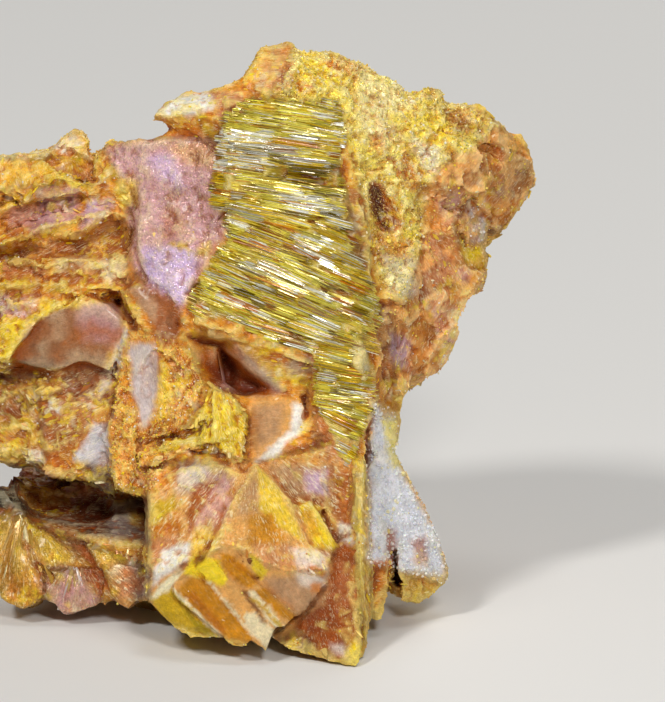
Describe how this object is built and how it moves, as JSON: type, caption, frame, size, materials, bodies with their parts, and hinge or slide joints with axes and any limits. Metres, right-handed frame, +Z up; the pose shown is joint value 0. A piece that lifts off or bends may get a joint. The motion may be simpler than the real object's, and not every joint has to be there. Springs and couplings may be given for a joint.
{
  "type": "orpiment mineral specimen",
  "caption": "Rough hand specimen of golden foliated orpiment with pink and orange cleavage faces, a crumbly yellow crust and a pale calcite fan, resting on its broken foot.",
  "frame": {"origin": "middle of the specimen's box, on the surface it rests on", "axes": "+X to the right across the display face, -Y towards the viewer of that face, +Z up"},
  "size_m": [0.0659, 0.0454, 0.0567],
  "materials": {
    "orpiment": "pearly golden fibres, resinous pink and orange cleavage, crumbly yellow crust"
  },
  "bodies": {
    "root": {"orpiment": "orpiment"}
  },
  "joints": []
}
